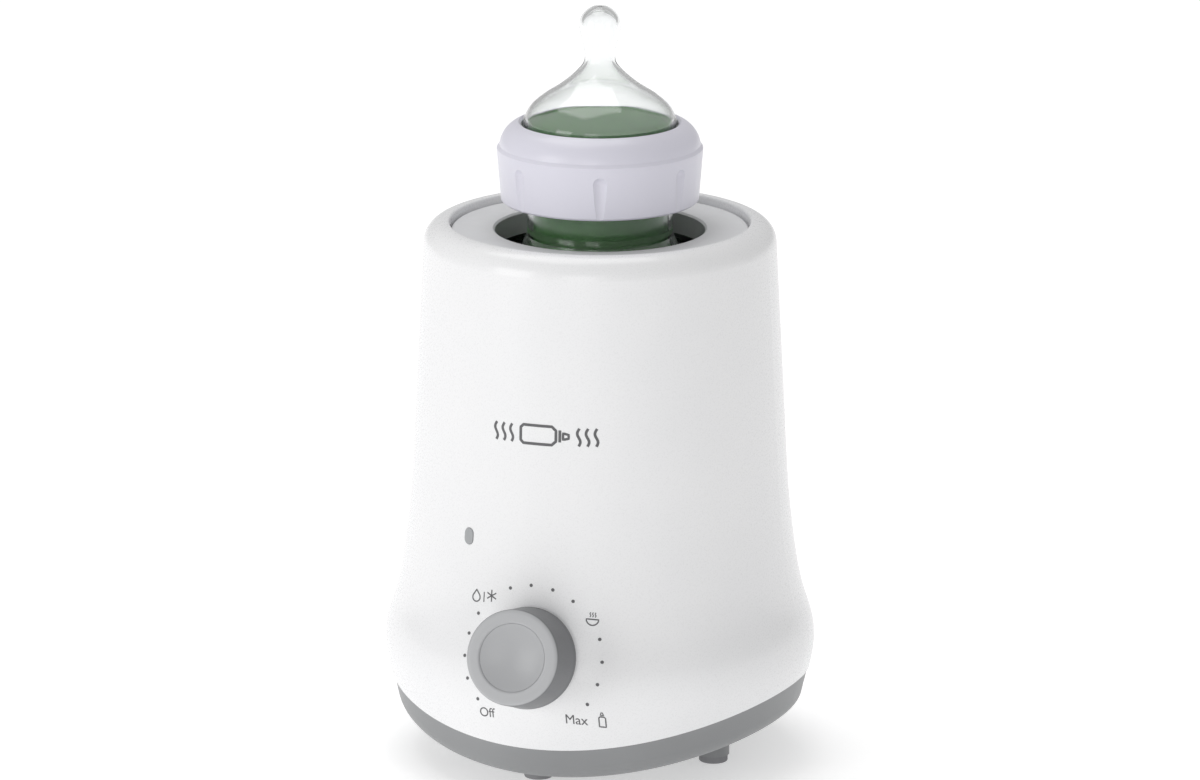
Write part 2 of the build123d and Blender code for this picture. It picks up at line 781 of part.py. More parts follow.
with BuildPart() as power_triac:
    with BuildSketch(Plane.XY.offset(board_top + 3)):
        with Locations((sink_x, sink_y - 3.2)):
            Rectangle(10, 4.4)
    extrude(amount=9)
    with BuildSketch(Plane.XY.offset(board_top + 3)):
        with Locations((sink_x, sink_y - 1.7)):
            Rectangle(10, 1.4)
    extrude(amount=13)
    with BuildSketch(Plane.XY.offset(board_top)):
        with Locations((sink_x, sink_y - 3.2)):
            with GridLocations(2.54, 1, 3, 1):
                Rectangle(0.9, 0.5)
    extrude(amount=3)
save(power_triac, "power_triac")

fuse_y, fuse_height = -8.0, board_top + 4.2
with BuildPart() as board_fuse:
    with BuildSketch(Plane.YZ.offset(-10)):
        with Locations((fuse_y, fuse_height)):
            Circle(2.6)
    extrude(amount=20)
save(board_fuse, "board_fuse")

with BuildPart() as fuse_clips:
    for side in (-1, 1):
        with BuildSketch(Plane.YZ.offset(side * 7.5)):
            with Locations((fuse_y, board_top + 3.0)):
                Rectangle(7.0, 6.0)
            with Locations((fuse_y, fuse_height)):
                Circle(2.62, mode=Mode.SUBTRACT)
            with Locations((fuse_y, fuse_height + 3)):
                Rectangle(3.6, 6, mode=Mode.SUBTRACT)
        extrude(amount=2, both=True)
save(fuse_clips, "fuse_clips")


# ---------------------------------------------------------------- inner wiring
def core(points, radius):
    """One insulated core swept along straight runs joined by the largest arcs that they allow."""
    stops = [Vector(*p) for p in points]
    radii = []
    for before, corner, after in zip(stops, stops[1:], stops[2:]):
        run_in, run_out = corner - before, after - corner
        half_turn = radians(run_in.get_angle(run_out)) / 2
        radii.append(0.45 * min(run_in.length, run_out.length) / tan(half_turn))
    with BuildLine() as route:
        FilletPolyline(*points, radius=radii)
    with BuildSketch(Plane(origin=stops[0], z_dir=stops[1] - stops[0])) as section:
        Circle(radius)
    sweep(section.sketch, path=route.wire())
    print("core radii", [round(r, 1) for r in radii], "length", round(route.wire().length, 1))


heater_core, probe_core, signal_core = 0.9, 0.8, 0.6
lead_height = element_bottom + 2.5
with BuildPart() as heater_leads:
    core(
        [
            (19, 9.5, lead_height),
            (29, 9.5, lead_height),
            (34, 18, 50),
            (26, 26, 42),
            (9, terminal_y, 43),
            (9, terminal_y, 27),
        ],
        heater_core,
    )
    core(
        [
            (19, -9.5, lead_height),
            (30, -9.5, lead_height),
            (40, 0, 48),
            (36, 20, 38),
            (20, 32, 40),
            (3, terminal_y, 43),
            (3, terminal_y, 27),
        ],
        heater_core,
    )
save(heater_leads, "heater_leads")

probe_height = plate_bottom - probe_radius
sensor_start = (-probe_length / 2, probe_y, probe_height)
with BuildPart() as sensor_leads:
    core(
        [
            sensor_start,
            (-20, probe_y, probe_height),
            (-31, 16, 50),
            (-31, 4, 40),
            (-22, -2, 35),
            (-22, -2, board_top),
        ],
        probe_core,
    )
save(sensor_leads, "sensor_leads")

with BuildPart() as cutoff_leads:
    core(
        [
            (8, -probe_y, probe_height),
            (20, -probe_y, probe_height),
            (30, -16, 50),
            (30, -4, 40),
            (22, 0, 35),
            (22, 0, board_top),
        ],
        probe_core,
    )
    core(
        [
            (-8, -probe_y, probe_height),
            (-20, -probe_y, probe_height),
            (-38, -12, 52),
            (-40, 2, 46),
            (-27, 22, 42),
            (-9, terminal_y, 42),
            (-9, terminal_y, 27),
        ],
        probe_core,
    )
save(cutoff_leads, "cutoff_leads")

tail = knob_plane.from_local_coords(Vector(0, -control_side / 2 - 4.8, control_front - 4.2))
turn_down = knob_plane.from_local_coords(Vector(0, -control_side / 2 - 12.0, control_front - 4.2))
with BuildPart() as control_leads:
    for side in (-1, 0, 1):
        x = side * terminal_pitch
        end = 0.5 * x
        core(
            [
                (x, tail.Y, tail.Z),
                (x, turn_down.Y, turn_down.Z),
                (x, -46, 20),
                (0.7 * x, -33, 22),
                (end, -22, 33),
                (end, -11.5, 35),
                (end, -11.5, board_top),
            ],
            signal_core,
        )
save(control_leads, "control_leads")

lamp_tail = lamp_plane.from_local_coords(Vector(0, -5, lamp_back - 1.2))
lamp_turn_down = lamp_plane.from_local_coords(Vector(0, -5, lamp_back - 7.6))
with BuildPart() as lamp_leads:
    core(
        [
            (lamp_tail.X, lamp_tail.Y, lamp_tail.Z),
            (lamp_turn_down.X, lamp_turn_down.Y, lamp_turn_down.Z),
            (-20, -42, 70),
            (-28, -38, 54),
            (-30, -24, 42),
            (-18, -5, 38),
            (-18, -5, board_top),
        ],
        probe_core,
    )
save(lamp_leads, "lamp_leads")

# ---------------------------------------------------------------- bottle, collar and teat
bottle_bottom = chamber_floor + chamber_floor_thick + 0.2
inner_radius = bottle_radius - bottle_wall
with BuildPart() as baby_bottle:
    with BuildSketch(Plane.XZ) as bottle_side:
        with BuildLine():
            Polyline(
                (0, bottle_bottom),
                (bottle_radius, bottle_bottom),
                (bottle_radius, bottle_shoulder),
                (bottle_waist_radius, bottle_waist - 2),
                (bottle_waist_radius, neck_bottom),
                (neck_radius, neck_bottom + 2.5),
                (neck_radius, neck_top),
                (neck_radius - bottle_wall, neck_top),
                (neck_radius - bottle_wall, neck_bottom + 3.5),
                (bottle_waist_radius - bottle_wall, neck_bottom + 0.6),
                (bottle_waist_radius - bottle_wall, bottle_waist - 1),
                (inner_radius, bottle_shoulder + 1),
                (inner_radius, bottle_bottom + bottle_wall),
                (0, bottle_bottom + bottle_wall),
                close=True,
            )
        make_face()
        rounded = [
            ((bottle_radius, bottle_bottom), 5.0),
            ((inner_radius, bottle_bottom + bottle_wall), 3.4),
            ((bottle_radius, bottle_shoulder), 13.0),
            ((inner_radius, bottle_shoulder + 1), 11.0),
            ((bottle_waist_radius, bottle_waist - 2), 9.0),
            ((bottle_waist_radius - bottle_wall, bottle_waist - 1), 10.0),
        ]
        for (r, z), size in rounded:
            fillet(vertices().sort_by_distance((r, 0, z))[0], size)
    revolve(axis=Axis.Z)
save(baby_bottle, "baby_bottle")

sleeve_in = neck_radius + 0.2
grip_circle = collar_skirt_radius + grip_radius - grip_depth
with BuildPart() as bottle_collar:
    with BuildSketch(Plane.XZ):
        with BuildLine():
            Polyline(
                (collar_opening + 0.9, collar_top),
                (collar_opening, collar_top - 0.7),
                (collar_opening, neck_top + 1.5),
                (sleeve_in, neck_top + 1.5),
                (sleeve_in, neck_bottom + 3),
                (sleeve_in + 1.5, neck_bottom + 3),
                (sleeve_in + 1.5, collar_ridge + 3),
                (collar_ridge_radius - collar_wall, collar_ridge - 1),
                (collar_skirt_radius - collar_wall, collar_bottom),
                (collar_skirt_radius - 0.6, collar_bottom),
                (collar_skirt_radius, collar_bottom + 0.6),
                (collar_ridge_radius, collar_ridge),
                (collar_ridge_radius, collar_ridge + 1.0),
                (collar_ridge_radius - 0.8, collar_ridge + 2.0),
            )
            ThreePointArc(
                (collar_ridge_radius - 0.8, collar_ridge + 2.0),
                (collar_ridge_radius - 2.6, collar_ridge + 6.4),
                (collar_opening + 0.9, collar_top),
            )
        make_face()
    revolve(axis=Axis.Z)
    with BuildSketch(Plane.XY.offset(collar_bottom - 1)):
        with PolarLocations(grip_circle, grip_count, start_angle=grip_turn):
            Circle(grip_radius)
    extrude(amount=collar_ridge - collar_bottom - 3.6, mode=Mode.SUBTRACT)
    with Locations((0, 0, collar_ridge - 4.6)):
        with PolarLocations(grip_circle, grip_count, start_angle=grip_turn):
            Sphere(grip_radius, mode=Mode.SUBTRACT)
save(bottle_collar, "bottle_collar")


def teat_face(inset):
    """Half of the teat's side view, moved in by inset, down to the flange's underside."""
    root = (teat_root_radius - inset, neck_top)
    edge = (teat_root_radius - inset, teat_root - 0.4 * inset)
    bulb = (teat_bulb_radius - inset, teat_bulb)
    tip = (0, teat_top - inset)
    with BuildSketch(Plane.XZ) as face:
        with BuildLine():
            Line(root, edge)
            Spline(
                edge,
                (22.4 - 0.9 * inset, 214.0 - 0.7 * inset),
                (17.9 - 0.7 * inset, 217.8 - 0.9 * inset),
                (13.0 - 0.7 * inset, 220.9 - 0.9 * inset),
                (8.1 - 0.8 * inset, 225.0 - 0.6 * inset),
                (4.95 - inset, 230.0),
                (5.9 - inset, 236.5),
                bulb,
                tangents=[(0, 1), (0, 1)],
            )
            TangentArc(tip, bulb, tangent=(1, 0))
            Polyline(tip, (0, neck_top), root)
        make_face()
    return face.sketch


with BuildPart() as teat:
    revolve(teat_face(0), axis=Axis.Z)
    with BuildSketch(Plane.XY.offset(neck_top)):
        Circle(neck_radius)
    extrude(amount=1.5)
    revolve(teat_face(teat_wall), axis=Axis.Z, mode=Mode.SUBTRACT)
save(teat, "teat")
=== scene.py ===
# %% [markdown]
# # A bottle warmer, from finished CAD parts to a lit picture
# The CAD parts already have their real sizes and places. This lesson gives them their finishes and
# adds what CAD leaves out: soft rounded skins, the printed dial and the drink in the bottle.
# Loading comes first, because every later step reads its positions from these parts.

# %% Load the CAD parts
import json
import math

import bmesh
import bpy
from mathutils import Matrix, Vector
from mathutils.bvhtree import BVHTree


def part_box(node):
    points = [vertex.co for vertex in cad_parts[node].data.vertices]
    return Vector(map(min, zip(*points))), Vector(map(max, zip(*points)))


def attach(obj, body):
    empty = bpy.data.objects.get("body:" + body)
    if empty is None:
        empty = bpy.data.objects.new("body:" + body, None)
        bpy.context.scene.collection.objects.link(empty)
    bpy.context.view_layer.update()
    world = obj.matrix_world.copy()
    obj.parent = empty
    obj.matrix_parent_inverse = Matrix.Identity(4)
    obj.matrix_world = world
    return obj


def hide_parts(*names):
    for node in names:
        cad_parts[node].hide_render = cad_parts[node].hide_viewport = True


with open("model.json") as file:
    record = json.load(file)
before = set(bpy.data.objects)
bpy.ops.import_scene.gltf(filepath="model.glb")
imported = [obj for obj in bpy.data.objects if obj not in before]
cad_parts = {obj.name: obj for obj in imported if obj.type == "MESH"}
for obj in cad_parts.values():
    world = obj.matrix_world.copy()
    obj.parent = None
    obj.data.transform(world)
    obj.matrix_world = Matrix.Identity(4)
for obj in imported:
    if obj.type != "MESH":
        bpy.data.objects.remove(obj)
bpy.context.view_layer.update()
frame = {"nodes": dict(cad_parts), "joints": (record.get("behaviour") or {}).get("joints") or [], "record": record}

nodes = frame["nodes"]
record = frame["record"]
MM = 0.001

# %% [markdown]
# ## Camera
# A long lens from a little over two metres keeps the round body from looking stretched, as in a
# catalogue picture. The camera looks at the middle of the object's height, from a little to the
# right and above. An empty target and a constraint could aim it too, but a direction turned into
# a rotation stays fixed and is easier to read.

# %% Place the camera
camera_turn, camera_rise, camera_distance = math.radians(19.25), math.radians(14.43), 2.30
camera_target = Vector((0, 0, 0.1196))
camera_back = Vector(
    (
        math.sin(camera_turn) * math.cos(camera_rise),
        -math.cos(camera_turn) * math.cos(camera_rise),
        math.sin(camera_rise),
    )
)
camera = bpy.data.objects.new("camera", bpy.data.cameras.new("camera"))
bpy.context.scene.collection.objects.link(camera)
camera.location = camera_target + camera_back * camera_distance
camera.rotation_mode = "QUATERNION"
camera.rotation_quaternion = (-camera_back).to_track_quat("-Z", "Y")
camera.data.sensor_width = 36.0
camera.data.lens = 212.3
bpy.context.scene.camera = camera
print("camera at", [round(c, 3) for c in camera.location])

# %% [markdown]
# ## Light and floor
# White plastic shows its shape only where the light falls off slowly, so the lights are large
# panels: a key from the front left, a wide one high above, a weak one from the front, and a pale
# world all round. The right side gets the least. The floor is one wide disc, pale and matt, and
# glows a little so that it stays white.

# %% Build the studio
def panel_light(name, place, aim, size, power):
    """A square soft light that faces the point aim."""
    light = bpy.data.lights.new(name, "AREA")
    light.shape, light.size, light.energy = "SQUARE", size, power
    lamp = bpy.data.objects.new(name, light)
    bpy.context.scene.collection.objects.link(lamp)
    lamp.location = place
    lamp.rotation_mode = "QUATERNION"
    lamp.rotation_quaternion = (Vector(aim) - Vector(place)).to_track_quat("-Z", "Y")
    return lamp


middle = (0, 0, 0.10)
panel_light("key_light", (-1.45, -1.85, 0.6), middle, 1.1, 11)
panel_light("top_light", (-0.5, 0.5, 2.4), middle, 1.8, 22)
panel_light("front_light", (0.3, -2.6, 0.6), middle, 1.0, 6)

world = bpy.data.worlds.new("pale_studio")
bpy.context.scene.world = world
world.use_nodes = True
backdrop = world.node_tree.nodes["Background"]
backdrop.inputs["Color"].default_value = (1.0, 1.0, 1.0, 1.0)
backdrop.inputs["Strength"].default_value = 0.48
bpy.context.scene.view_settings.view_transform = "Standard"
print("3 panel lights and a pale world")

# %% [markdown]
# ## Meshes turned on a lathe
# Nearly every piece here is round. A small helper turns a half outline of (radius, height) points
# round any axis and returns a closed mesh. A Screw modifier would do the same, but a helper can
# also round the corners of the outline first, which is what makes moulded plastic look moulded.

# %% Lathe helpers
def link_mesh(name, mesh):
    """An object for a finished mesh, shaded smooth except at sharp corners."""
    piece = bpy.data.objects.new(name, mesh)
    bpy.context.scene.collection.objects.link(piece)
    for face in mesh.polygons:
        face.use_smooth = True
    mesh.set_sharp_from_angle(angle=math.radians(40))
    return piece


def softened(outline, radius, steps=6):
    """The outline with each inner corner replaced by a short curve of about that radius."""
    points = [Vector(p) for p in outline]
    out = [points[0]]
    for before, corner, after in zip(points, points[1:], points[2:]):
        reach = min(radius, 0.45 * (corner - before).length, 0.45 * (after - corner).length)
        start = corner + (before - corner).normalized() * reach
        end = corner + (after - corner).normalized() * reach
        for k in range(steps + 1):
            t = k / steps
            out.append(start * (1 - t) ** 2 + corner * 2 * t * (1 - t) + end * t * t)
    return out + [points[-1]]


def lathe(name, outline, origin=(0, 0, 0), axis=(0, 0, 1), turns=160):
    """A closed mesh turned from (radius, height) points in millimetres, round an axis in metres."""
    axis = Vector(axis).normalized()
    side = axis.orthogonal().normalized()
    other = axis.cross(side)
    shape = bmesh.new()
    rings = []
    for radius, height in outline:
        centre = Vector(origin) + axis * height * MM
        if radius < 1e-6:
            rings.append([shape.verts.new(centre)])
            continue
        ring = []
        for k in range(turns):
            angle = 2 * math.pi * k / turns
            spoke = side * math.cos(angle) + other * math.sin(angle)
            ring.append(shape.verts.new(centre + spoke * radius * MM))
        rings.append(ring)
    pairs = list(zip(rings, rings[1:]))
    if len(rings[0]) > 1 and len(rings[-1]) > 1:
        pairs.append((rings[-1], rings[0]))
    for low, high in pairs:
        for k in range(turns):
            n = (k + 1) % turns
            corners = [low[k % len(low)], low[n % len(low)], high[n % len(high)], high[k % len(high)]]
            corners = list(dict.fromkeys(corners))
            if len(corners) > 2:
                shape.faces.new(corners)
    bmesh.ops.recalc_face_normals(shape, faces=shape.faces)
    mesh = bpy.data.meshes.new(name)
    shape.to_mesh(mesh)
    shape.free()
    return link_mesh(name, mesh)


floor = lathe("studio_floor", [(0, -0.2), (9000, -0.2), (9000, -6), (0, -6)], turns=96)
print("floor disc of", round(floor.dimensions.x, 1), "m")

# %% [markdown]
# ## Shared surface effects
# Moulded plastic, metal and rubber all need the same few effects at different strengths: a fine
# grain from the mould, slow drifts of colour, paler rubbed edges, and a little dust on what faces
# up. Each effect is a node group, built once, that puts out colours and masks. The shaders stay
# in the materials, so that each can set its own gloss.

# %% Helpers for node groups
def new_group(name, inputs, outputs):
    """An empty shader node group with named sockets, and its two end nodes."""
    group = bpy.data.node_groups.new(name, "ShaderNodeTree")
    for title, kind, value in inputs:
        socket = group.interface.new_socket(title, in_out="INPUT", socket_type=kind)
        socket.default_value = value
    for title, kind in outputs:
        group.interface.new_socket(title, in_out="OUTPUT", socket_type=kind)
    return group, group.nodes.new("NodeGroupInput"), group.nodes.new("NodeGroupOutput")


def noise_node(tree, detail, roughness=0.5):
    """A noise texture read at the object's own coordinates, so that it moves with the piece."""
    place = tree.nodes.new("ShaderNodeTexCoord")
    noise = tree.nodes.new("ShaderNodeTexNoise")
    noise.inputs["Detail"].default_value = detail
    noise.inputs["Roughness"].default_value = roughness
    tree.links.new(place.outputs["Object"], noise.inputs["Vector"])
    return noise


def math_node(tree, operation, first, second):
    """A Math node; each of first and second is a socket or a number."""
    node = tree.nodes.new("ShaderNodeMath")
    node.operation = operation
    for slot_index, value in enumerate((first, second)):
        if isinstance(value, (int, float)):
            node.inputs[slot_index].default_value = value
        else:
            tree.links.new(value, node.inputs[slot_index])
    return node.outputs[0]


def remap(tree, value, low, high, to_low=0.0, to_high=1.0):
    """A clamped Map Range node."""
    node = tree.nodes.new("ShaderNodeMapRange")
    for title, number in (("From Min", low), ("From Max", high), ("To Min", to_low), ("To Max", to_high)):
        node.inputs[title].default_value = number
    tree.links.new(value, node.inputs["Value"])
    return node.outputs["Result"]


def mix_colour(tree, factor, first, second):
    """A Mix node for colours; first and second are sockets or colours."""
    node = tree.nodes.new("ShaderNodeMix")
    node.data_type = "RGBA"
    tree.links.new(factor, node.inputs["Factor"])
    for title, value in (("A", first), ("B", second)):
        socket = [s for s in node.inputs if s.name == title and s.type == "RGBA"][0]
        if isinstance(value, tuple):
            socket.default_value = value
        else:
            tree.links.new(value, socket)
    return [s for s in node.outputs if s.type == "RGBA"][0]


print("node helpers ready")

# %% [markdown]
# ### Mould grain
# The mould leaves a grain a few tenths of a millimetre across, and the plastic's colour drifts by
# a percent or two over centimetres. Two noise textures give both. The grain's size is an input in
# millimetres, because the same group serves the smooth body and the rougher feet.

# %% Build the mould grain group
grain_group, grain_in, grain_out = new_group(
    "mould grain",
    [
        ("Colour", "NodeSocketColor", (0.8, 0.8, 0.8, 1)),
        ("Drift Colour", "NodeSocketColor", (0.7, 0.7, 0.7, 1)),
        ("Grains per Metre", "NodeSocketFloat", 2500.0),
    ],
    [("Colour", "NodeSocketColor"), ("Grain", "NodeSocketFloat"), ("Drift", "NodeSocketFloat")],
)
fine = noise_node(grain_group, 3.0, 0.6)
grain_group.links.new(grain_in.outputs["Grains per Metre"], fine.inputs["Scale"])
slow = noise_node(grain_group, 2.0)
slow.inputs["Scale"].default_value = 28.0
drift = remap(grain_group, slow.outputs["Fac"], 0.3, 0.7)
tinted = mix_colour(grain_group, drift, grain_in.outputs["Colour"], grain_in.outputs["Drift Colour"])
grain_group.links.new(tinted, grain_out.inputs["Colour"])
grain_group.links.new(fine.outputs["Fac"], grain_out.inputs["Grain"])
grain_group.links.new(drift, grain_out.inputs["Drift"])
print("mould grain:", len(grain_group.nodes), "nodes")

# %% [markdown]
# ### Rubbed edges and dust
# Hands polish the convex edges first. Cycles knows how convex a point is, and noise breaks the
# line up so that it doesn't look drawn. Dust settles on what faces up and keeps out of the rest.

# %% Build the wear and dust groups
wear_group, wear_in, wear_out = new_group(
    "rubbed edges",
    [("Amount", "NodeSocketFloat", 0.4)],
    [("Mask", "NodeSocketFloat")],
)
surface = wear_group.nodes.new("ShaderNodeNewGeometry")
convex = remap(wear_group, surface.outputs["Pointiness"], 0.51, 0.60)
patches = noise_node(wear_group, 4.0, 0.7)
patches.inputs["Scale"].default_value = 160.0
broken = remap(wear_group, patches.outputs["Fac"], 0.35, 0.65)
rubbed = math_node(wear_group, "MULTIPLY", convex, broken)
rubbed = math_node(wear_group, "MULTIPLY", rubbed, wear_in.outputs["Amount"])
wear_group.links.new(rubbed, wear_out.inputs["Mask"])

dust_group, dust_in, dust_out = new_group(
    "settled dust",
    [("Amount", "NodeSocketFloat", 0.1)],
    [("Mask", "NodeSocketFloat")],
)
facing = dust_group.nodes.new("ShaderNodeNewGeometry")
split = dust_group.nodes.new("ShaderNodeSeparateXYZ")
dust_group.links.new(facing.outputs["Normal"], split.inputs["Vector"])
upward = remap(dust_group, split.outputs["Z"], 0.55, 1.0)
specks = noise_node(dust_group, 6.0, 0.75)
specks.inputs["Scale"].default_value = 420.0
speckled = remap(dust_group, specks.outputs["Fac"], 0.45, 0.75)
dusty = math_node(dust_group, "MULTIPLY", upward, speckled)
dusty = math_node(dust_group, "MULTIPLY", dusty, dust_in.outputs["Amount"])
dust_group.links.new(dusty, dust_out.inputs["Mask"])
print("rubbed edges and settled dust built")

# %% [markdown]
# ### Drawing and turning lines
# A drawn cup and a turned bush carry fine rings round their axis. Stretching a noise texture
# along Z, so that it changes quickly with height and slowly round the ring, gives those lines.

# %% Build the metal lines group
lines_group, lines_in, lines_out = new_group(
    "turning lines",
    [("Lines per Metre", "NodeSocketFloat", 2000.0)],
    [("Line", "NodeSocketFloat"), ("Cloud", "NodeSocketFloat")],
)
where = lines_group.nodes.new("ShaderNodeTexCoord")
stretch = lines_group.nodes.new("ShaderNodeVectorMath")
stretch.operation = "MULTIPLY"
stretch.inputs[1].default_value = (0.02, 0.02, 1.0)
lines_group.links.new(where.outputs["Object"], stretch.inputs[0])
streaks = lines_group.nodes.new("ShaderNodeTexNoise")
streaks.inputs["Detail"].default_value = 3.0
lines_group.links.new(stretch.outputs["Vector"], streaks.inputs["Vector"])
lines_group.links.new(lines_in.outputs["Lines per Metre"], streaks.inputs["Scale"])
clouds = noise_node(lines_group, 3.0, 0.6)
clouds.inputs["Scale"].default_value = 60.0
lines_group.links.new(streaks.outputs["Fac"], lines_out.inputs["Line"])
lines_group.links.new(clouds.outputs["Fac"], lines_out.inputs["Cloud"])
print("turning lines built")

# %% [markdown]
# ## Materials
# Three recipes cover the object. Plastic and rubber share one, with different grain and gloss.
# Metal has lines instead of grain. Clear parts let the light through and only their roughness
# changes over the surface. Numbers that are the same all over go straight on the shader.

# %% Recipes for plastic, metal and clear parts
def start_material(name):
    """A material with an empty Principled shader, its tree, and the shader."""
    material = bpy.data.materials.new(name)
    material.use_nodes = True
    tree = material.node_tree
    return material, tree, tree.nodes["Principled BSDF"]


def place_group(tree, group, **values):
    """A group node with its named inputs set; an underscore in a name stands for a space."""
    node = tree.nodes.new("ShaderNodeGroup")
    node.node_tree = group
    for title, value in values.items():
        node.inputs[title.replace("_", " ")].default_value = value
    return node


def bumped(tree, shader, height, strength, depth):
    """Bump from a height socket; depth is in millimetres."""
    bump = tree.nodes.new("ShaderNodeBump")
    bump.inputs["Strength"].default_value = strength
    bump.inputs["Distance"].default_value = depth * MM
    tree.links.new(height, bump.inputs["Height"])
    tree.links.new(bump.outputs["Normal"], shader.inputs["Normal"])


def plastic(name, colour, drift, gloss, grains, depth, wear=0.0, dust=0.0, coat=0.0, glow=0.0):
    """Moulded plastic or rubber. gloss is its roughness range, depth the grain's in millimetres."""
    material, tree, shader = start_material(name)
    grain = place_group(
        tree, grain_group, Colour=(*colour, 1), Drift_Colour=(*drift, 1), Grains_per_Metre=grains
    )
    rubbed_here = place_group(tree, wear_group, Amount=wear)
    dust_here = place_group(tree, dust_group, Amount=dust)
    paler = tuple(min(1.0, c * 1.25 + 0.03) for c in colour) + (1,)
    shade = mix_colour(tree, rubbed_here.outputs["Mask"], grain.outputs["Colour"], paler)
    shade = mix_colour(tree, dust_here.outputs["Mask"], shade, (0.72, 0.71, 0.69, 1))
    tree.links.new(shade, shader.inputs["Base Color"])
    rough = remap(tree, grain.outputs["Grain"], 0.3, 0.7, gloss[0], gloss[1])
    rough = math_node(tree, "ADD", rough, dust_here.outputs["Mask"])
    tree.links.new(rough, shader.inputs["Roughness"])
    bumped(tree, shader, grain.outputs["Grain"], 0.35, depth)
    shader.inputs["Coat Weight"].default_value = coat
    shader.inputs["Coat Roughness"].default_value = 0.12
    shader.inputs["Subsurface Weight"].default_value = glow
    shader.inputs["Subsurface Radius"].default_value = (0.004, 0.004, 0.004)
    return material


def metal(name, colour, tarnish, gloss, lines, depth):
    """Bare metal with turning or drawing lines."""
    material, tree, shader = start_material(name)
    marks = place_group(tree, lines_group, Lines_per_Metre=lines)
    clouded = remap(tree, marks.outputs["Cloud"], 0.35, 0.7)
    tree.links.new(mix_colour(tree, clouded, (*colour, 1), (*tarnish, 1)), shader.inputs["Base Color"])
    rough = remap(tree, marks.outputs["Line"], 0.3, 0.7, gloss[0], gloss[1])
    tree.links.new(rough, shader.inputs["Roughness"])
    bumped(tree, shader, marks.outputs["Line"], 0.3, depth)
    shader.inputs["Metallic"].default_value = 1.0
    return material


def clear(name, colour, gloss, bend, depth=0.01):
    """A see-through wall. bend is how strongly it bends light; smudges vary its roughness."""
    material, tree, shader = start_material(name)
    smudge = place_group(
        tree, grain_group, Colour=(*colour, 1), Drift_Colour=(*colour, 1), Grains_per_Metre=60.0
    )
    tree.links.new(smudge.outputs["Colour"], shader.inputs["Base Color"])
    rough = remap(tree, smudge.outputs["Grain"], 0.4, 0.75, gloss[0], gloss[1])
    tree.links.new(rough, shader.inputs["Roughness"])
    bumped(tree, shader, smudge.outputs["Grain"], 0.1, depth)
    shader.inputs["Transmission Weight"].default_value = 1.0
    shader.inputs["IOR"].default_value = bend
    return material


print("recipes ready")

# %% [markdown]
# ### One finish for each material slot
# The record names the finish of every CAD part by a slot. Each slot gets one material here, and
# the parts then take theirs from the record, so that no part is forgotten.

